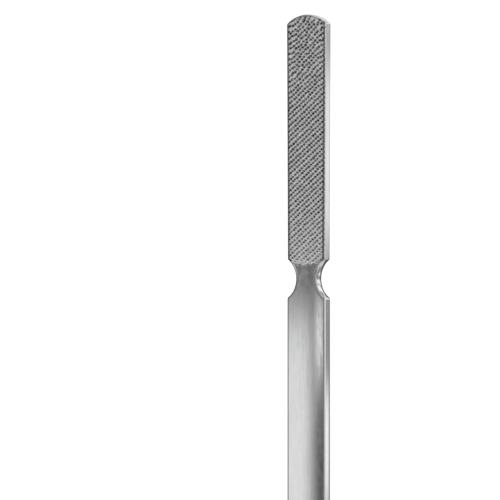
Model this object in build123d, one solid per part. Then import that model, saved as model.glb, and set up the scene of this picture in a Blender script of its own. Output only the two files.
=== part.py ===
from build123d import *
import math
import os

# Double-ended flat rasp, forged and ground from one bar of stainless steel.
# +Z runs along the tool to the upper tip, -Y is the front and +X the right-hand edge.
# The origin is the middle of the handle. Lengths are in millimetres, angles in degrees.

# Along the tool
total_length = 300.0
head_length = 90.0
neck_length = 14.0
handle_length = total_length - 2 * (head_length + neck_length)

# Widths
tip_width = 16.1
head_root_width = 15.4
handle_width = 15.7
waist_width = 8.6

# Thicknesses
blank_thickness = 4.8
crown_height = 0.35
edge_chamfer = 0.5

# Radii of the outline
tip_radius = 11.5
tip_corner_radius = 1.0
notch_corner_radius = 0.8

# Crown of the handle: a flat land along the middle, which falls away to the edges and the ends
land_width = 5.0
crown_runout = 10.0

# Teeth: saw-toothed rows that slant across a thin bed, with their steep sides towards the tip
tooth_height = 0.35
bed_thickness = 0.08
tooth_pitch = 1.18
tooth_width = 1.0
row_spacing = 1.53
row_shift = 0.08
row_angle = 40.0
tooth_edge_gap = 0.15

# Worked out from the above
head_root_z = total_length / 2 - head_length
tip_centre_z = total_length / 2 - tip_radius
shoulder_z = tip_centre_z + math.sqrt(tip_radius**2 - (tip_width / 2) ** 2)
face_y = blank_thickness / 2


def plan_outline():
    """The tool's outline seen from the front, in the XZ plane."""
    handle_corner = (handle_width / 2, handle_length / 2)
    waist = (waist_width / 2, (handle_length + neck_length) / 2)
    head_corner = (head_root_width / 2, head_root_z)
    shoulder = (tip_width / 2, shoulder_z)
    with BuildSketch(Plane.XZ) as sketch:
        with BuildLine():
            Line((handle_width / 2, 0), handle_corner)
            ThreePointArc(handle_corner, waist, head_corner)
            Line(head_corner, shoulder)
            RadiusArc(shoulder, (0, total_length / 2), -tip_radius)
            mirror(about=Plane.YZ)
            mirror(about=Plane.XZ)
        make_face()
        corners = sketch.vertices().filter_by(lambda v: abs(v.X) > waist_width / 2)
        notch_corners = corners.filter_by(lambda v: abs(v.Z) < shoulder_z - tip_width)
        fillet(notch_corners.filter_by(lambda v: abs(v.Z) > neck_length), notch_corner_radius)
        tip_corners = sketch.vertices().filter_by(
            lambda v: abs(abs(v.Z) - shoulder_z) < tip_corner_radius / 10
        )
        fillet(tip_corners, tip_corner_radius)
    return sketch.sketch


def ground_bar(outline):
    """The whole bar at the thickness of the head blanks, with its long edges chamfered."""
    bar = extrude(outline, amount=face_y, both=True)
    front_rim = bar.faces().sort_by(Axis.Y)[0].edges()
    back_rim = bar.faces().sort_by(Axis.Y)[-1].edges()
    return chamfer(front_rim + back_rim, edge_chamfer)


def stretch(bar, low_z, high_z):
    """The stretch of the bar between two heights."""
    block = Box(2 * tip_width, 2 * blank_thickness, high_z - low_z)
    return bar & Pos(0, 0, (low_z + high_z) / 2) * block


def front_crown(handle_bar):
    """The swelling of the handle's front face, on top of the flat bar."""
    flat_half = handle_width / 2 - edge_chamfer
    half_length = handle_length / 2
    crown_y = face_y + crown_height
    with BuildSketch(Plane.XY) as across:
        with BuildLine():
            TangentArc((land_width / 2, crown_y), (flat_half, face_y), tangent=(1, 0))
            mirror(about=Plane.YZ)
            Line((-land_width / 2, crown_y), (land_width / 2, crown_y))
            Line((-flat_half, face_y), (flat_half, face_y))
        make_face()
    with BuildSketch(Plane.YZ) as along:
        with BuildLine():
            land_end = (crown_y, half_length - crown_runout)
            TangentArc(land_end, (face_y, half_length), tangent=(0, 1))
            mirror(about=Plane.XZ)
            Line((crown_y, crown_runout - half_length), land_end)
            Line((face_y, -half_length), (face_y, half_length))
        make_face()
    flat = handle_bar.faces().sort_by(Axis.Y)[-1]
    crown = extrude(flat, amount=crown_height)
    crown &= extrude(across.sketch, amount=half_length, both=True)
    crown &= extrude(along.sketch, amount=flat_half, both=True)
    return Rot(0, 0, 180) * crown


def on_face(x, z):
    """Whether a point of the upper head's face is inside the edge that the teeth leave clear."""
    clear = edge_chamfer + tooth_edge_gap
    taper = (tip_width - head_root_width) / (shoulder_z - head_root_z)
    half_width = (head_root_width + taper * (z - head_root_z)) / 2
    inside_sides = z > head_root_z and abs(x) < half_width - clear
    return inside_sides and math.hypot(x, z - tip_centre_z) < tip_radius - clear or (
        inside_sides and z < tip_centre_z
    )


def row_teeth(row):
    """Numbers of the teeth of a slanting row that lie whole on the face."""
    cosine = math.cos(math.radians(row_angle))
    sine = math.sin(math.radians(row_angle))
    reach = round(head_length / tooth_pitch)
    numbers = []
    for number in range(-reach, reach):
        whole = True
        for along in (number, number + 1):
            for side in (-0.5, 0.5):
                u = along * tooth_pitch + row * row_shift
                v = row * row_spacing + side * tooth_width
                x = u * cosine - v * sine
                z = u * sine + v * cosine + head_root_z + head_length / 2
                whole = whole and on_face(x, z)
        if whole:
            numbers.append(number)
    return numbers


def tooth_row(row, numbers):
    """One slanting row of teeth, as a saw-toothed bar that stands on the front face."""
    first = numbers[0] * tooth_pitch
    last = (numbers[-1] + 1) * tooth_pitch
    points = [(last, 0), (first, 0), (first, bed_thickness)]
    for number in numbers:
        end = (number + 1) * tooth_pitch
        points.append((end, tooth_height))
        points.append((end, bed_thickness))
    profile = Pos(row * row_shift, 0) * Polyline(*points[:-1], points[0])
    bar = extrude(make_face(profile), amount=tooth_width / 2, both=True)
    slant = Plane(
        origin=(0, -face_y, head_root_z + head_length / 2),
        x_dir=(math.cos(math.radians(row_angle)), 0, math.sin(math.radians(row_angle))),
        z_dir=(math.sin(math.radians(row_angle)), 0, -math.cos(math.radians(row_angle))),
    )
    return slant * Pos(0, 0, -row * row_spacing) * bar


def front_teeth(head):
    """The bed that covers the head's front face, with all its tooth rows, as one solid."""
    face = head.faces().sort_by(Axis.Y)[0]
    bed = extrude(face, amount=bed_thickness)
    rows = []
    row_reach = round(head_length / row_spacing)
    for row in range(-row_reach, row_reach + 1):
        numbers = row_teeth(row)
        if numbers:
            rows.append(tooth_row(row, numbers))
    return bed.fuse(*rows)


bar = ground_bar(plan_outline())
handle = stretch(bar, -handle_length / 2, handle_length / 2)
crown = front_crown(handle)
handle = handle + crown + Rot(0, 0, 180) * crown

upper_head = stretch(bar, head_root_z, total_length / 2)
upper_neck = stretch(bar, handle_length / 2, head_root_z)
upper_front_teeth = front_teeth(upper_head)
upper_back_teeth = Rot(0, 0, 180) * upper_front_teeth

other_end = Rot(0, 180, 0)
nodes = {
    "handle": handle,
    "upper_neck": upper_neck,
    "upper_head": upper_head,
    "upper_front_teeth": upper_front_teeth,
    "upper_back_teeth": upper_back_teeth,
    "lower_neck": other_end * upper_neck,
    "lower_head": other_end * upper_head,
    "lower_front_teeth": other_end * upper_front_teeth,
    "lower_back_teeth": other_end * upper_back_teeth,
}

os.makedirs("parts", exist_ok=True)
for name, shape in nodes.items():
    export_step(shape, f"parts/{name}.step")
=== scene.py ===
import math

import bpy
import numpy as np
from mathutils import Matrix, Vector


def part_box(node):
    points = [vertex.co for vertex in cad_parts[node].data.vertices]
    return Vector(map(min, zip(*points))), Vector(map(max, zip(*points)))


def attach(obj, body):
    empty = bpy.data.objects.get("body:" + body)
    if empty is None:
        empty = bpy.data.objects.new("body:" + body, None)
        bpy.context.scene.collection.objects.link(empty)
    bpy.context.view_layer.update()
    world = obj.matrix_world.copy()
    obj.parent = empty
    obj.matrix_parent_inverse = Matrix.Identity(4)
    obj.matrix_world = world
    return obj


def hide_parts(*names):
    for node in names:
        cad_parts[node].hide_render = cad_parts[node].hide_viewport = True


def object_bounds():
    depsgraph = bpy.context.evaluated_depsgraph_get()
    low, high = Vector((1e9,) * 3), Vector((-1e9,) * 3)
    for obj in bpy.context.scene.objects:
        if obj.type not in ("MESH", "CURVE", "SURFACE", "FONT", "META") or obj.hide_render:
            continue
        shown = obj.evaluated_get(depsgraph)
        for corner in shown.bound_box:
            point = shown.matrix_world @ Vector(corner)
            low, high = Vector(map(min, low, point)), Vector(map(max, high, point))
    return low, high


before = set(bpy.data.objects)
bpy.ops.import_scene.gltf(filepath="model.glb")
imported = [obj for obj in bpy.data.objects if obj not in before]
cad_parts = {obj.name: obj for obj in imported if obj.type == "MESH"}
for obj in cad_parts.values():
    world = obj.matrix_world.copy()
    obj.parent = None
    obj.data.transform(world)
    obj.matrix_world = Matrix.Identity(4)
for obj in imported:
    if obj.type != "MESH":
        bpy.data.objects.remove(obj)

cad_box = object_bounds()
mm = 0.001

# Sizes read from the frame. "half" is a half width or a half thickness.
handle_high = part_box("handle")[1]
head_low, head_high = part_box("upper_head")
teeth_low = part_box("upper_front_teeth")[0]
half_handle = handle_high.x
half_tip = head_high.x
half_blank = head_high.y
handle_end = handle_high.z
head_root = head_low.z
tip_end = head_high.z
crown_height = handle_high.y - half_blank
burr_height = head_low.y - teeth_low.y

# Sizes of the outline that no node's box gives. The corners beside the notches are rounder than the
# CAD model's 0.8 mm, because the softened edge would fold back on itself round a tighter corner.
half_root = 7.70 * mm
half_waist = 4.30 * mm
tip_radius = 11.5 * mm
tip_corner = 1.0 * mm
notch_corner = 1.1 * mm
arc_step = 0.01 * mm
line_step = 0.05 * mm

# Softened long edges: a wide rolled edge, a narrow chamfer and a tight rolled edge to the side wall
face_roll = 0.70 * mm
chamfer_width = 0.45 * mm
wall_roll = 0.10 * mm
wall_bulge = 0.09 * mm
roll_steps = 6
wall_steps = 8

# The same edge in a notch: the chamfer and roll widths as shares of those above, the wall's extra
# bulge, how deep in the notch the change is complete, and how far past the head's root it reaches
notch_chamfer = 0.62
notch_roll = 1.5
notch_bulge = 0.25 * mm
narrowing_depth = 2.0 * mm
narrowing_reach = 2.0 * mm

# Where one piece ends and the next begins, up the tool from the middle of the handle, then how far
# the crown runs out under the teeth, and the recess in the head that takes a toothed skin
handle_cut = handle_end - 1.2 * mm
head_cut = head_root - 3.0 * mm
crown_runout = 15.0 * mm
recess_depth = 0.9 * mm
recess_gap = 0.02 * mm

# Rows and columns of the meshes
face_columns = 44
handle_rows = 121
neck_rows = 61
grid_step = 0.137 * mm
tip_columns_share = 0.96

# Layout of the teeth of one face
tooth_pitch = 1.18 * mm
row_spacing = 1.53 * mm
row_slant = math.radians(40.0)
wild_length = 34.0 * mm
calm_length = 26.0 * mm
fade_start = head_root - 2.3 * mm
fade_length = 1.6 * mm
fade_jitter = (-0.4, 0.5)
bare_length = 0.5 * mm
worked_start = head_root - 2.8 * mm
worked_length = 2.8 * mm

# How much the teeth differ. A spread is a standard deviation, as a share of a spacing or in radians.
# "wild" is what the tip adds, and "calm" what the neck takes away.
phase_spread = 0.16
row_spread = 0.035
place_spread = 0.055
wild_place_spread = 0.12
tilt_spread = 0.16
wild_tilt_spread = 0.3
wild_swirl = 0.3
swirl_lengths = np.array((7.0, 10.0, 14.0)) * mm
size_range = (0.88, 1.12)
wild_growth = 0.06
calm_shrinkage = 0.14
strength_range = (0.8, 1.1)
calm_weakness = 0.2

# Shape of a tooth of size 1. "fore" is towards the tip and "aft" towards the neck. Lengths without
# the unit are in millimetres, because a tooth is worked out in millimetres across and along itself.
pit_fore, pit_aft, pit_side = 0.50, 0.33, 0.43
pit_steepness = 1.3
pit_depth = 0.34 * mm
valley_width, valley_length = 0.36, 0.72
valley_share = 0.42
burr_place = -0.42
burr_bow = 0.8
burr_fore, burr_aft, burr_side = 0.12, 0.33, 0.36
burr_share = 0.9
tooth_extent = 1.5 * mm

# Along the rim of a toothed face the relief fades out and painted shade darkens the steel, less so round
# the tip
hold_slope = 1.6
rim_shade_steps = 2
tip_rim_shade_loss = 0.5
edge_shade_columns = 4


# ---------------------------------------------------------------- outline


def arc(centre, radius, start, stop, outward=1.0):
    """Points and outward normals along an arc, its angles measured from +X towards +Z."""
    count = math.ceil(abs(stop - start) * radius / arc_step) + 2
    angle = np.linspace(start, stop, count)
    spoke = np.c_[np.cos(angle), np.sin(angle)]
    return np.c_[np.array(centre) + radius * spoke, outward * spoke]


def line(start, stop):
    """Points and outward normals along a straight edge that has the material on its left."""
    count = math.ceil(math.dist(start, stop) / line_step) + 2
    points = np.linspace(start, stop, count)
    along = (points[-1] - points[0]) / math.dist(start, stop)
    return np.c_[points, np.full(count, along[1]), np.full(count, -along[0])]


def right_outline():
    """The right-hand outline from the middle of the handle up to the apex of the tip, as rows of
    distance along it, x, z and the outward normal's x and z, and the height of the tip's corner."""
    neck_middle = (handle_end + head_root) / 2
    depth = (half_handle + half_root) / 2 - half_waist
    chord = (head_root - handle_end) / 2
    radius = (chord**2 + depth**2) / (2 * depth)
    notch = np.array((half_waist + radius, neck_middle))

    def corner_beside_notch(half_width, side):
        x = half_width - notch_corner
        z = neck_middle + side * math.sqrt((radius + notch_corner) ** 2 - (notch[0] - x) ** 2)
        return np.array((x, z)), math.atan2(neck_middle - z, notch[0] - x)

    handle_corner, handle_turn = corner_beside_notch(half_handle, -1)
    root_corner, root_turn = corner_beside_notch(half_root, 1)
    tip_centre = tip_end - tip_radius
    reach = tip_radius - tip_corner
    corner = np.array((half_tip - tip_corner, 0.0))
    corner[1] = tip_centre + math.sqrt(reach**2 - corner[0] ** 2)
    tip_turn = math.atan2(corner[1] - tip_centre, corner[0])
    stretches = [
        line((half_handle, 0.0), (half_handle, handle_corner[1])),
        arc(handle_corner, notch_corner, 0.0, handle_turn),
        arc(notch, radius, math.pi + handle_turn, math.pi + root_turn, -1.0),
        arc(root_corner, notch_corner, root_turn, 0.0),
        line((half_root, root_corner[1]), (half_tip, corner[1])),
        arc(corner, tip_corner, 0.0, tip_turn),
        arc((0.0, tip_centre), tip_radius, tip_turn, math.pi / 2),
    ]
    path = np.concatenate([stretch[1:] for stretch in stretches])
    steps = np.hypot(*np.diff(path[:, :2], axis=0).T)
    return np.c_[np.concatenate(([0.0], np.cumsum(steps))), path], corner[1]


outline, tip_corner_z = right_outline()


def height_to_length(z):
    """Distance along the right-hand outline at a height."""
    return float(np.interp(z, outline[:, 2], outline[:, 0]))


def stations(lengths):
    """Outline points and unit normals at distances along the right-hand outline."""
    table = np.column_stack([np.interp(lengths, outline[:, 0], column) for column in outline[:, 1:].T])
    table[:, 2:] /= np.hypot(table[:, 2], table[:, 3])[:, None]
    return table


def mirrored(table):
    """The same stations on the left-hand side."""
    return table * np.array((-1.0, 1.0, -1.0, 1.0))


# ---------------------------------------------------------------- edge profile


def edge_profile():
    """Distance in from the outline and y, from the front face's edge to the middle of the chamfer
    and on to the side wall, then the number of that middle and how far in the chamfer starts."""
    quarter = math.pi / 4
    inset_total = face_roll * math.sin(quarter) + chamfer_width * math.cos(quarter)
    inset_total += wall_roll * (1 - math.sin(quarter)) + wall_bulge
    points = []
    for turn in np.linspace(0.0, quarter, roll_steps):
        drop = face_roll * (1 - math.cos(turn))
        points.append((inset_total - face_roll * math.sin(turn), drop))
    half_flat = chamfer_width * math.cos(quarter) / 2
    seam = len(points)
    points.append((points[-1][0] - half_flat, points[-1][1] + half_flat))
    points.append((points[-1][0] - half_flat, points[-1][1] + half_flat))
    inset_flat, drop_flat = points[-1]
    for turn in np.linspace(quarter, 2 * quarter, roll_steps)[1:]:
        inset = inset_flat - wall_roll * (math.sin(turn) - math.sin(quarter))
        drop = drop_flat + wall_roll * (math.cos(quarter) - math.cos(turn))
        points.append((inset, drop))
    front = np.array(points)
    return np.c_[front[:, 0], front[:, 1] - half_blank], seam, points[roll_steps - 1][0]


front_edge, seam_index, chamfer_inset = edge_profile()
wall_half = -front_edge[-1, 1]


def edge_chain():
    """The whole long edge, from the front face's edge round the side wall to the back face's edge."""
    wall_y = np.linspace(-wall_half, wall_half, wall_steps + 1)[1:-1]
    wall = np.c_[wall_bulge * (wall_y / wall_half) ** 2, wall_y]
    back = front_edge[::-1] * np.array((1.0, -1.0))
    return np.concatenate((front_edge, wall, back))


def notch_share(table):
    """0 at a station on a straight edge, rising to 1 deep in a notch."""
    deep = np.clip((half_root - np.abs(table[:, 0])) / narrowing_depth, 0.0, 1.0)
    deep = np.where(np.abs(table[:, 1]) < head_root + narrowing_reach, deep, 0.0)
    return (deep * deep * (3 - 2 * deep))[:, None]


def sweep(table, chain):
    """The chain of (inset, y) points placed at every outline station: [station, chain, xyz]. In a
    notch the chamfer is narrower, the rolled edge wider and the wall rounder."""
    share = notch_share(table)
    outer = np.minimum(chain[:, 0], chamfer_inset)[None]
    inner = chain[None, :, 0] - outer
    inset = outer * (1 + (notch_chamfer - 1) * share) + inner * (1 + (notch_roll - 1) * share)
    rounding = np.minimum((chain[None, :, 1] / wall_half) ** 2, 1.0) - 0.5
    inset = inset + notch_bulge * share * rounding
    x = table[:, 0, None] - inset * table[:, 2, None]
    z = table[:, 1, None] - inset * table[:, 3, None]
    y = np.broadcast_to(chain[None, :, 1], x.shape)
    return np.stack((x, y, z), axis=-1)


def crown_share(z):
    """1 along the handle and the necks, falling to 0 under the first teeth."""
    run = np.clip((head_cut + crown_runout - np.abs(z)) / crown_runout, 0.0, 1.0)
    return run * run * (3 - 2 * run)


def crowned(points):
    """The points of a flat bar moved out from its middle plane, so that both faces are crowned."""
    crown_half_width = half_handle - front_edge[0, 0]
    across = np.clip(1 - (points[:, 0] / crown_half_width) ** 2, 0.0, 1.0)
    crowned_points = points.copy()
    crowned_points[:, 1] *= 1 + crown_height * across * crown_share(points[:, 2]) / half_blank
    return crowned_points


# ---------------------------------------------------------------- meshes


def numbered(rows, columns):
    """The point numbers of a grid."""
    return np.arange(rows * columns).reshape(rows, columns)


def quads(number):
    """Faces between the points of a grid of point numbers, as an array of four numbers each."""
    a, b = number[:-1, :-1], number[:-1, 1:]
    c, d = number[1:, 1:], number[1:, :-1]
    return np.stack((a, b, c, d), axis=-1).reshape(-1, 4)


def make_piece(name, points, faces, material, joints=(), values=None):
    """A smooth-shaded mesh object with values stored on its points. The joint faces, which meet
    another piece, are flat with sharp edges, so that they don't show in the shading."""
    mesh = bpy.data.meshes.new(name)
    mesh.from_pydata(points.tolist(), [], [*faces, *joints])
    smooth = np.arange(len(mesh.polygons)) < len(faces)
    mesh.polygons.foreach_set("use_smooth", smooth)
    edge_of_loop = np.zeros(len(mesh.loops), int)
    mesh.loops.foreach_get("edge_index", edge_of_loop)
    sizes = np.zeros(len(mesh.polygons), int)
    mesh.polygons.foreach_get("loop_total", sizes)
    sharp = np.zeros(len(mesh.edges), bool)
    sharp[edge_of_loop[sizes[: len(faces)].sum() :]] = True
    mesh.edges.foreach_set("use_edge_sharp", sharp)
    for key, numbers in (values or {}).items():
        layer = mesh.attributes.new(key, "FLOAT", "POINT")
        layer.data.foreach_set("value", numbers.astype(np.float32))
    mesh.materials.append(material)
    mesh.update()
    piece = bpy.data.objects.new(name, mesh)
    bpy.context.scene.collection.objects.link(piece)
    return piece


def turned(points, end, side):
    """Points of the upper front moved by half turns to another end or side. Both are rotations."""
    factor = np.array((1.0, 1.0, 1.0))
    if side == "back":
        factor = factor * np.array((-1.0, -1.0, 1.0))
    if end == "lower":
        factor = factor * np.array((-1.0, 1.0, -1.0))
    return points * factor


def bar_length(right, columns):
    """A closed length of the bar through the given right-hand stations: its points and faces."""
    chain = edge_chain()
    right_ring = sweep(right, chain)
    left_ring = sweep(mirrored(right), chain)[:, ::-1]
    share = np.linspace(0.0, 1.0, columns + 1)[1:-1, None]
    back = right_ring[:, -1:, :] * (1 - share) + left_ring[:, :1, :] * share
    front = left_ring[:, -1:, :] * (1 - share) + right_ring[:, :1, :] * share
    loops = np.concatenate((right_ring, back, left_ring, front), axis=1)
    rows, around = loops.shape[:2]
    number = numbered(rows, around)
    faces = quads(np.c_[number, number[:, 0]]).tolist()
    last = (rows - 1) * around
    joints = [list(range(around))[::-1], list(range(last, last + around))]
    return crowned(loops.reshape(-1, 3)), faces, joints


def head_stations(side_count, top_count):
    """Outline stations from the head's cut up the right side, over the tip and down the left side. A
    side ends 30 degrees round the tip's corner."""
    start = height_to_length(head_cut)
    middle = height_to_length(tip_corner_z) + tip_corner * math.pi / 6
    side = np.linspace(start, middle, side_count + 1)
    top = np.linspace(middle, outline[-1, 0], top_count // 2 + 1)
    right = stations(np.concatenate((side, top[1:])))
    return np.concatenate((right, mirrored(right[:-1])[::-1]))


side_count = round((height_to_length(tip_corner_z) - height_to_length(head_cut)) / grid_step)
top_count = 2 * round(half_tip / grid_step * tip_columns_share)
head_path = head_stations(side_count, top_count)


def across_pairs(offset, stride, total):
    """Faces that join each station's point to its mirror image on the other side of the head."""
    faces = []
    for number in range(total // 2):
        other = total - 1 - number
        corners = [number, number + 1, other - 1, other]
        faces.append([offset + corner * stride for corner in dict.fromkeys(corners)])
    return faces


def head_core():
    """The head's sides, with a recess in each face for the toothed skin: its points and faces."""
    chain = edge_chain()[seam_index:-seam_index]
    floor_y = half_blank - recess_depth
    first = (chain[0, 0] + recess_gap, -floor_y)
    last = (chain[-1, 0] + recess_gap, floor_y)
    chain = np.vstack((first, chain, last))
    grid = sweep(head_path, chain)
    rows, around = grid.shape[:2]
    strips = quads(numbered(rows, around)).reshape(rows - 1, around - 1, 4)
    faces = strips[:, 1:-1].reshape(-1, 4).tolist()
    joints = strips[:, (0, -1)].reshape(-1, 4).tolist()
    joints += across_pairs(0, around, rows)
    joints += [face[::-1] for face in across_pairs(around - 1, around, rows)]
    last = (rows - 1) * around
    joints.append([*range(last, last + around), *range(around - 1, -1, -1)])
    return crowned(grid.reshape(-1, 3)), faces, joints


def tooth_places(rng):
    """Centre, tilt, size and strength of every tooth of the upper front face, as rows of numbers. The
    teeth are less regular towards the tip and smaller towards the neck."""
    row_step = np.array((-math.sin(row_slant), math.cos(row_slant)))
    tooth_step = np.array((math.cos(row_slant), math.sin(row_slant)))
    origin = np.array((0.0, (head_root + tip_end) / 2))
    row_reach = round((tip_end - head_cut) / row_spacing)
    tooth_reach = round((tip_end - head_cut) / tooth_pitch)
    phase = 0.0
    places = []
    wave_turn = rng.uniform(0.0, 2 * math.pi, (len(swirl_lengths), 2))
    wave_number = 2 * math.pi / swirl_lengths
    for row in range(-row_reach, row_reach + 1):
        phase += rng.normal(0.0, phase_spread) * tooth_pitch
        row_shift = rng.normal(0.0, row_spread) * row_spacing
        for number in range(-tooth_reach, tooth_reach + 1):
            centre = origin + tooth_step * (number * tooth_pitch + phase)
            centre = centre + row_step * (row * row_spacing + row_shift)
            wild = np.clip(1 - (tip_end - centre[1]) / wild_length, 0.0, 1.0)
            calm = np.clip(1 - (centre[1] - head_root) / calm_length, 0.0, 1.0)
            wave = np.sin(wave_number[:, None] * centre[::-1] + wave_turn).sum(axis=0)
            shift = rng.normal(0.0, place_spread + wild_place_spread * wild, 2)
            centre = centre + (shift + wild_swirl * wild * wave) * tooth_pitch
            tilt = rng.normal(0.0, tilt_spread + wild_tilt_spread * wild)
            size = rng.uniform(*size_range) * (1 + wild_growth * wild - calm_shrinkage * calm)
            strength = rng.uniform(*strength_range) * (1 - calm_weakness * calm)
            fade = (centre[1] - fade_start) / fade_length + rng.uniform(*fade_jitter)
            on_face = abs(centre[0]) < half_tip and head_cut + bare_length < centre[1] < tip_end
            if on_face and fade > 0:
                places.append((*centre, tilt, size, strength * min(1.0, fade)))
    return places


def tooth_relief(x, z, rng):
    """Height, pit value and crest value of a punched face at the given points. A pit has a burr on
    its neck side and lies in a shallow valley along its row."""
    order = np.argsort(z)
    sorted_z = z[order]
    pit = np.zeros_like(x)
    crest = np.zeros_like(x)
    for centre_x, centre_z, tilt, size, strength in tooth_places(rng):
        low, high = np.searchsorted(sorted_z, (centre_z - tooth_extent, centre_z + tooth_extent))
        near = order[low:high]
        near = near[np.abs(x[near] - centre_x) < tooth_extent]
        across = (x[near] - centre_x) / (size * mm)
        ahead = (z[near] - centre_z) / (size * mm)
        side = across * math.cos(tilt) + ahead * math.sin(tilt)
        fore = ahead * math.cos(tilt) - across * math.sin(tilt)
        length = np.where(fore > 0, pit_fore, pit_aft)
        bowl = np.exp(-(((fore / length) ** 2 + (side / pit_side) ** 2) ** pit_steepness))
        along_row = across * math.cos(row_slant) + ahead * math.sin(row_slant)
        off_row = ahead * math.cos(row_slant) - across * math.sin(row_slant)
        valley = np.exp(-((off_row / valley_width) ** 2) - (along_row / valley_length) ** 4)
        lip = burr_place + burr_bow * side**2
        slope = np.where(fore > lip, burr_fore, burr_aft)
        burr = np.exp(-(((fore - lip) / slope) ** 2) - (side / burr_side) ** 4)
        pit[near] = np.maximum(pit[near], strength * np.maximum(bowl, valley_share * valley))
        crest[near] = np.maximum(crest[near], strength * burr)
    crest *= 1 - np.clip(pit, 0.0, 1.0)
    height = burr_height * burr_share * crest * (1 - crown_share(z)) - pit_depth * pit
    return height, pit, crest


def three_sides(edge):
    """What lies along a toothed face's edge: up the right side, over the tip, and up the left side."""
    last = len(edge) - 1 - side_count
    return edge[: side_count + 1], edge[side_count : last + 1], edge[last:][::-1]


def filled_in(right, top, left):
    """Points inside a toothed face, blended from its three edges and a straight fourth one."""
    u = np.linspace(0.0, 1.0, len(top))[None, :, None]
    v = np.linspace(0.0, 1.0, len(right))[:, None, None]
    bottom = right[0] * (1 - u) + left[0] * u
    block = (1 - u) * right[:, None] + u * left[:, None] + (1 - v) * bottom + v * top[None]
    block -= (1 - v) * bottom + v * ((1 - u) * right[-1] + u * left[-1])
    return block[:-1, 1:-1].reshape(-1, 3)


def face_numbers(rows, across, columns):
    """The point numbers of a toothed face: its edge is the rim's last column, and the points inside
    it follow the rim's."""
    right, top, left = three_sides(numbered(rows, across)[:, -1])
    number = np.zeros((side_count + 1, columns), int)
    number[:, 0] = right
    number[-1] = top
    number[:, -1] = left
    number[:-1, 1:-1] = rows * across + numbered(side_count, columns - 2)
    return number


def toothed_faces(number, rows, across):
    """Faces and joint faces of a toothed skin."""
    strips = quads(numbered(rows, across)).reshape(rows - 1, across - 1, 4)
    faces = quads(number)[:, ::-1].tolist()
    faces += strips[:, 1:, ::-1].reshape(-1, 4).tolist()
    joints = strips[:, 0, ::-1].tolist()
    joints += [face[::-1] for face in across_pairs(0, across, rows)]
    last = (rows - 1) * across
    joints.append([*range(across - 1), *number[0].tolist(), *range(last + across - 2, last - 1, -1)])
    return faces, joints


def rim_hold(rows, across, total):
    """How much of the relief each point keeps: none on the rim's first two columns, all inside."""
    hold = np.ones(total)
    ramp = np.concatenate(([0.0], np.clip(np.linspace(0.0, hold_slope, across - 1), 0.0, 1.0)))
    hold[: rows * across] = np.tile(ramp, rows)
    return hold


def rim_painted_shade(rows, across, columns, total):
    """How much painted shade each point gets for being near the rim, less round the tip."""
    shade = np.zeros(total)
    rim_shade = np.clip(np.arange(across) - 1, 0, rim_shade_steps) / rim_shade_steps
    shade[: rows * across] = np.outer(1 - tip_rim_shade_loss * head_path[:, 3], rim_shade).ravel()
    down, over = np.indices((side_count, columns - 2))
    rim_steps = np.minimum(np.minimum(over, over[:, ::-1]), 2 * (side_count - down)).ravel()
    shade[rows * across :] = np.clip(1 - (rim_steps + 1) / edge_shade_columns, 0.0, 1.0)
    return shade


def tooth_skin(seed):
    """The toothed skin of the upper head's front face: points, faces and the values on its points."""
    chain = front_edge[: seam_index + 1][::-1]
    floor = (chain[0, 0], recess_depth - half_blank)
    rim = sweep(head_path, np.vstack((floor, chain)))
    rows, across = rim.shape[:2]
    right, top, left = three_sides(rim[:, -1])
    points = np.concatenate((rim.reshape(-1, 3), filled_in(right, top, left)))
    faces, joints = toothed_faces(face_numbers(rows, across, len(top)), rows, across)

    height, pit, crest = tooth_relief(points[:, 0], points[:, 2], np.random.default_rng(seed))
    hold = rim_hold(rows, across, len(points))
    worked = np.clip((points[:, 2] - worked_start) / worked_length, 0.0, 1.0)
    points[:, 1] -= height * hold * np.clip(2 * worked - 1, 0.0, 1.0)
    values = {
        "pit": pit * hold,
        "crest": crest * hold * worked**2,
        "rim": rim_painted_shade(rows, across, len(top), len(points)) * worked,
        "worked": worked,
    }
    return crowned(points), faces, joints, values


# ---------------------------------------------------------------- materials


def node(tree, kind, **settings):
    """A shader node with its settings and input values."""
    made = tree.nodes.new(kind)
    inputs = settings.pop("inputs", {})
    for key, value in settings.items():
        setattr(made, key, value)
    for key, value in inputs.items():
        made.inputs[key].default_value = value
    return made


def new_material(name, roughness, metallic=1.0):
    """A material whose Principled shader is set up, its tree and that shader."""
    material = bpy.data.materials.new(name)
    material.use_nodes = True
    shader = material.node_tree.nodes["Principled BSDF"]
    shader.inputs["Metallic"].default_value = metallic
    shader.inputs["Roughness"].default_value = roughness
    return material, material.node_tree, shader


def stretched_noise(tree, scale, detail, coarseness=0.55):
    """Noise in object space with its own scale along X, Y and Z."""
    place = node(tree, "ShaderNodeTexCoord")
    mapping = node(tree, "ShaderNodeMapping", inputs={"Scale": scale})
    noise = node(tree, "ShaderNodeTexNoise", inputs={"Scale": 1.0, "Detail": detail})
    noise.inputs["Roughness"].default_value = coarseness
    tree.links.new(place.outputs["Object"], mapping.inputs["Vector"])
    tree.links.new(mapping.outputs["Vector"], noise.inputs["Vector"])
    return noise.outputs["Fac"]


def spread(tree, value, to, source=(0.3, 0.7)):
    """A value carried from one range to another, and held at that range's ends."""
    mapped = node(tree, "ShaderNodeMapRange")
    mapped.inputs["From Min"].default_value, mapped.inputs["From Max"].default_value = source
    mapped.inputs["To Min"].default_value, mapped.inputs["To Max"].default_value = to
    tree.links.new(value, mapped.inputs["Value"])
    return mapped.outputs["Result"]


def bumped(tree, shader, height, strength, distance):
    """A fine relief on the shader's normal."""
    bump = node(tree, "ShaderNodeBump", inputs={"Strength": strength, "Distance": distance})
    tree.links.new(height, bump.inputs["Height"])
    tree.links.new(bump.outputs["Normal"], shader.inputs["Normal"])


def connect(tree, value, socket):
    """Feeds a socket from another socket or from a plain value."""
    if isinstance(value, bpy.types.NodeSocket):
        tree.links.new(value, socket)
    else:
        socket.default_value = value


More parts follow.
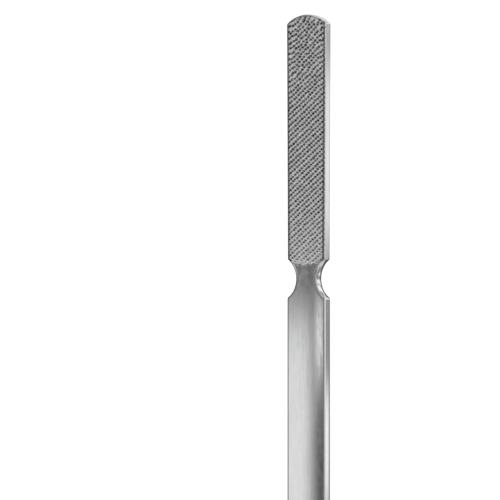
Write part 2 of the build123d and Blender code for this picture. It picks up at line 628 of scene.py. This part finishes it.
def mix_colour(tree, factor, first, second):
    """A mix of two colours."""
    mix = node(tree, "ShaderNodeMix", data_type="RGBA", blend_type="MIX")
    connect(tree, factor, mix.inputs[0])
    connect(tree, first, mix.inputs[6])
    connect(tree, second, mix.inputs[7])
    return mix.outputs[2]


def grey(level, tint=0.0):
    """A grey, cooler where it has a tint."""
    return (level * (1 - tint), level, level * (1 + tint), 1.0)


def combined(tree, operation, first, second):
    """Two values joined by a maths operation."""
    maths = node(tree, "ShaderNodeMath", operation=operation)
    connect(tree, first, maths.inputs[0])
    connect(tree, second, maths.inputs[1])
    return maths.outputs["Value"]


def added(tree, first, second):
    """The sum of two values."""
    return combined(tree, "ADD", first, second)


def times(tree, first, second):
    """The product of two values."""
    return combined(tree, "MULTIPLY", first, second)


def steel(name, level, roughness, roughness_spread, grain, bump):
    """Ground stainless steel: fine grinding lines along the tool, cloudy polish and faint stains."""
    material, tree, shader = new_material(name, roughness)
    lines = stretched_noise(tree, scale=(9000, 9000, 110), detail=3.0)
    fine = stretched_noise(tree, scale=(26000, 26000, 500), detail=2.0)
    cloud = stretched_noise(tree, scale=(210, 210, 60), detail=4.0)
    stain = stretched_noise(tree, scale=(420, 420, 330), detail=5.0, coarseness=0.6)
    shade = spread(tree, cloud, to=(0.0, 1.0))
    colour = mix_colour(tree, shade, grey(level * 0.94), grey(level * 1.05, tint=0.006))
    streak = spread(tree, lines, to=(0.0, grain), source=(0.35, 0.75))
    colour = mix_colour(tree, streak, colour, grey(level * 0.72))
    tree.links.new(colour, shader.inputs["Base Color"])
    rough = spread(tree, cloud, to=(roughness - roughness_spread, roughness + roughness_spread))
    rough = added(tree, rough, spread(tree, lines, to=(-0.03, 0.05)))
    rough = added(tree, rough, spread(tree, stain, to=(-0.015, 0.03), source=(0.45, 0.75)))
    tree.links.new(rough, shader.inputs["Roughness"])
    relief = added(tree, lines, times(tree, fine, 0.5))
    bumped(tree, shader, relief, strength=bump, distance=0.004 * mm)
    return material


polished_level = 0.64
polished_roughness = 0.14


def cut_steel():
    """Punched steel: crests lighter for wear and as a painted highlight, a satin net between the teeth,
    pits darkened with painted shade, and painted shade along the rim. Below the first teeth it is as
    smooth as the neck."""
    material, tree, shader = new_material("cut_finish", 0.4)
    names = ("pit", "crest", "rim", "worked")
    pit, crest, rim, worked = (
        node(tree, "ShaderNodeAttribute", attribute_name=name).outputs["Fac"] for name in names
    )
    mottle = stretched_noise(tree, scale=(900, 900, 900), detail=4.0, coarseness=0.6)
    grain = stretched_noise(tree, scale=(7000, 7000, 5000), detail=3.0)
    net = mix_colour(tree, spread(tree, mottle, to=(0.0, 1.0)), grey(0.56), grey(0.88))
    # The crests are made lighter, partly for wear and partly as a painted highlight
    crest_wear_and_highlight = spread(tree, crest, to=(0.0, 1.0), source=(0.20, 0.75))
    bright = mix_colour(tree, crest_wear_and_highlight, net, grey(0.92))
    # Painted shade: the pits, and the shallow valleys along their rows, are darkened almost to black by
    # the stored pit value
    dark = spread(tree, pit, to=(0.0, 1.0), source=(0.05, 0.78))
    colour = mix_colour(tree, dark, bright, grey(0.055))
    # Painted shade along the rim of the toothed face
    colour = mix_colour(tree, times(tree, rim, 0.75), colour, grey(0.04))
    patchy = added(tree, worked, spread(tree, mottle, to=(-0.5, 0.5)))
    started = spread(tree, patchy, to=(0.0, 1.0), source=(0.3, 1.0))
    colour = mix_colour(tree, started, grey(polished_level), colour)
    tree.links.new(colour, shader.inputs["Base Color"])
    rough = combined(tree, "SUBTRACT", 0.44, times(tree, crest, 0.10))
    rough = added(tree, rough, times(tree, pit, 0.25))
    rough = added(tree, rough, spread(tree, grain, to=(-0.05, 0.05)))
    smoothed = times(tree, combined(tree, "SUBTRACT", 1.0, started), polished_roughness)
    rough = added(tree, times(tree, rough, started), smoothed)
    tree.links.new(rough, shader.inputs["Roughness"])
    bumped(tree, shader, grain, strength=0.35, distance=0.01 * mm)
    return material


finishes = {
    "polished_steel": steel(
        "polished_finish",
        polished_level,
        polished_roughness,
        roughness_spread=0.01,
        grain=0.35,
        bump=0.35,
    ),
    "satin_steel": steel("satin_finish", 0.62, 0.18, roughness_spread=0.03, grain=0.5, bump=0.5),
    "cut_steel": cut_steel(),
}


# ---------------------------------------------------------------- the rasp

seeds = {("upper", "front"): 11, ("upper", "back"): 23, ("lower", "front"): 37, ("lower", "back"): 51}


def add(name, points, faces, joints, slot, values=None):
    """A piece that rides on the frame and stands for the CAD node of the same name."""
    piece = make_piece(f"{name}_steel", points, faces, finishes[slot], joints, values)
    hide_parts(name)
    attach(piece, "root")


straight = np.tile((half_handle, 0.0, 1.0, 0.0), (handle_rows, 1))
straight[:, 1] = np.linspace(-handle_cut, handle_cut, handle_rows)
add("handle", *bar_length(straight, face_columns), "polished_steel")

neck_lengths = np.linspace(height_to_length(handle_cut), height_to_length(head_cut), neck_rows)
neck_points, *neck_faces = bar_length(stations(neck_lengths), face_columns)
core_points, *core_faces = head_core()
for end in ("upper", "lower"):
    add(f"{end}_neck", turned(neck_points, end, "front"), *neck_faces, "polished_steel")
    add(f"{end}_head", turned(core_points, end, "front"), *core_faces, "satin_steel")
    for side in ("front", "back"):
        skin_points, skin_faces, skin_joints, skin_values = tooth_skin(seeds[end, side])
        skin_points = turned(skin_points, end, side)
        add(f"{end}_{side}_teeth", skin_points, skin_faces, skin_joints, "cut_steel", skin_values)


# ---------------------------------------------------------------- floor, light and camera

# The camera: its turn and lift round the rasp, the width it sees there, where it aims, its lens and
# sensor in millimetres, and the nearest and furthest it sees as shares of its distance
view_turn = math.radians(26.8)
view_lift = math.radians(0.0)
view_width = 0.18375
aim_across = -0.02159
aim_height = 0.06354
lens = 200.0
sensor_width = 36.0
nearest_share = 0.01
furthest_share = 10

floor_half = 0.55
floor_gap = 0.1 * mm
surround_level = 1.05

# The softbox, in metres and watts
overhead_azimuth = math.radians(0.0)
overhead_elevation = math.radians(80.0)
overhead_distance = 0.75
overhead_size = 0.5
overhead_power = 4.0

# The white panels on the wall of the round light tent. Each has its level, then its first and last
# azimuth and how soft those edges are, in degrees, then its lowest and highest z and how soft those
# are, in metres. Azimuths run from the seam once round to the seam again.
tent_radius = 0.5
tent_half_height = 1.6
tent_sides = 96
tent_heights = 3
tent_seam = -150.0
tent_base = 0.08
tent_panels = {
    "head front": (1.00, -50.0, -14.0, 8.0, 0.085, 0.450, 0.015),
    "handle front": (1.08, -62.0, -21.0, 7.0, -0.130, 0.031, 0.020),
    "handle strip": (1.60, -17.8, -13.3, 1.5, -0.004, 0.036, 0.012),
    "front": (0.30, -9.0, 26.0, 5.0, -1.60, 0.630, 0.010),
    "bevel": (1.05, 57.0, 84.0, 3.0, -0.100, 0.900, 0.010),
    "right": (0.33, 84.0, 164.0, 6.0, -1.60, 1.60, 0.010),
    "head side": (0.90, 118.0, 164.0, 4.0, 0.064, 0.164, 0.015),
    "handle side": (1.00, 138.0, 157.0, 3.0, -0.075, -0.012, 0.012),
    "notch side": (1.00, 112.0, 170.0, 5.0, 0.197, 0.360, 0.015),
    "tip": (1.00, 168.0, 208.0, 6.0, 0.300, 0.540, 0.020),
    "low": (0.60, -150.0, 100.0, 8.0, -1.60, -0.150, 0.020),
    "back low": (0.60, 100.0, 210.0, 8.0, -1.60, -0.250, 0.020),
    "high": (0.25, -150.0, 210.0, 8.0, 0.600, 1.60, 0.050),
}


def direction(azimuth, elevation):
    """Unit vector from the rasp, azimuth 0 being -Y and 90 being +X."""
    flat = math.cos(elevation)
    return Vector((math.sin(azimuth) * flat, -math.cos(azimuth) * flat, math.sin(elevation)))


def add_camera():
    """A long lens at the viewing angle, moved sideways and up so that the rasp stands off centre."""
    data = bpy.data.cameras.new("camera")
    data.lens = lens
    data.sensor_width = sensor_width
    distance = lens * view_width / sensor_width
    data.clip_start = distance * nearest_share
    data.clip_end = distance * furthest_share
    camera = bpy.data.objects.new("camera", data)
    bpy.context.scene.collection.objects.link(camera)
    back = direction(view_turn, view_lift)
    sideways = Vector((math.cos(view_turn), math.sin(view_turn), 0.0))
    camera.location = sideways * aim_across + Vector((0, 0, aim_height)) + back * distance
    camera.rotation_mode = "QUATERNION"
    camera.rotation_quaternion = (-back).to_track_quat("-Z", "Y")
    bpy.context.scene.camera = camera


def add_floor():
    """A plain pale floor just under the lower tip. The steel doesn't mirror it."""
    sides = np.array([(-1, -1), (1, -1), (1, 1), (-1, 1)]) * floor_half
    corners = np.c_[sides, np.full(len(sides), cad_box[0].z - floor_gap)]
    material, tree, shader = new_material("floor", roughness=0.8, metallic=0.0)
    paper = stretched_noise(tree, scale=(30, 30, 30), detail=3.0)
    tree.links.new(mix_colour(tree, paper, grey(0.88), grey(0.92)), shader.inputs["Base Color"])
    floor = make_piece("floor", corners, [[0, 1, 2, 3]], material)
    floor.visible_glossy = False


def add_softbox():
    """A square light overhead, turned to the rasp's middle. The steel doesn't mirror it."""
    data = bpy.data.lights.new("overhead", "AREA")
    data.shape = "RECTANGLE"
    data.size = overhead_size
    data.size_y = overhead_size
    data.energy = overhead_power
    lamp = bpy.data.objects.new("overhead", data)
    bpy.context.scene.collection.objects.link(lamp)
    towards = direction(overhead_azimuth, overhead_elevation)
    lamp.location = towards * overhead_distance
    lamp.rotation_mode = "QUATERNION"
    lamp.rotation_quaternion = towards.to_track_quat("Z", "Y")
    lamp.visible_camera = False
    lamp.visible_glossy = False


def smooth_step(tree, value, start, stop):
    """0 before start and 1 after stop, with a smooth change between, or the reverse if stop is lower."""
    step = node(tree, "ShaderNodeMapRange", interpolation_type="SMOOTHSTEP")
    step.inputs["From Min"].default_value = start
    step.inputs["From Max"].default_value = stop
    tree.links.new(value, step.inputs["Value"])
    return step.outputs["Result"]


def window(tree, value, first, last, soft):
    """1 between first and last, with soft edges, and 0 outside."""
    rising = smooth_step(tree, value, first - soft, first + soft)
    falling = smooth_step(tree, value, last + soft, last - soft)
    return times(tree, rising, falling)


def tent_strength(tree):
    """The brightness of the tent's wall, by azimuth and height. The wall is turned before its azimuth
    is taken, so that the arc tangent's jump from 180 to -180 degrees lies at the seam."""
    place = node(tree, "ShaderNodeTexCoord")
    turn = node(tree, "ShaderNodeMapping", vector_type="POINT")
    turn.inputs["Rotation"].default_value = (0, 0, -math.radians(180 + tent_seam))
    parts = node(tree, "ShaderNodeSeparateXYZ")
    tree.links.new(place.outputs["Object"], turn.inputs["Vector"])
    tree.links.new(turn.outputs["Vector"], parts.inputs["Vector"])
    x, y, z = (parts.outputs[axis] for axis in "XYZ")
    azimuth = combined(tree, "ARCTAN2", x, times(tree, y, -1.0))
    azimuth = times(tree, azimuth, 180 / math.pi)
    azimuth = added(tree, azimuth, 180 + tent_seam)
    strength = tent_base
    for level, first, last, soft, low, high, soft_z in tent_panels.values():
        panel = window(tree, azimuth, first, last, soft)
        panel = times(tree, panel, window(tree, z, low, high, soft_z))
        strength = added(tree, strength, times(tree, panel, level))
    return strength


def add_tent():
    """A round light tent that only the steel mirrors."""
    around = np.linspace(-math.pi, math.pi, tent_sides + 1)
    heights = np.linspace(-tent_half_height, tent_half_height, tent_heights)
    ring = np.c_[np.sin(around), -np.cos(around)] * tent_radius
    points = np.concatenate([np.c_[ring, np.full(len(ring), z)] for z in heights])
    material = bpy.data.materials.new("tent")
    material.use_nodes = True
    tree = material.node_tree
    tree.nodes.clear()
    glow = node(tree, "ShaderNodeEmission")
    output = node(tree, "ShaderNodeOutputMaterial")
    tree.links.new(tent_strength(tree), glow.inputs["Strength"])
    tree.links.new(glow.outputs["Emission"], output.inputs["Surface"])
    tent = make_piece("tent", points, quads(numbered(tent_heights, len(ring))).tolist(), material)
    tent.visible_camera = False
    tent.visible_diffuse = False
    tent.visible_shadow = False


def add_world():
    """A plain white surround."""
    world = bpy.data.worlds.new("surround")
    world.use_nodes = True
    background = world.node_tree.nodes["Background"]
    background.inputs["Color"].default_value = (1, 1, 1, 1)
    background.inputs["Strength"].default_value = surround_level
    bpy.context.scene.world = world


add_camera()
add_floor()
add_tent()
add_softbox()
add_world()
bpy.context.scene.view_settings.view_transform = "Standard"
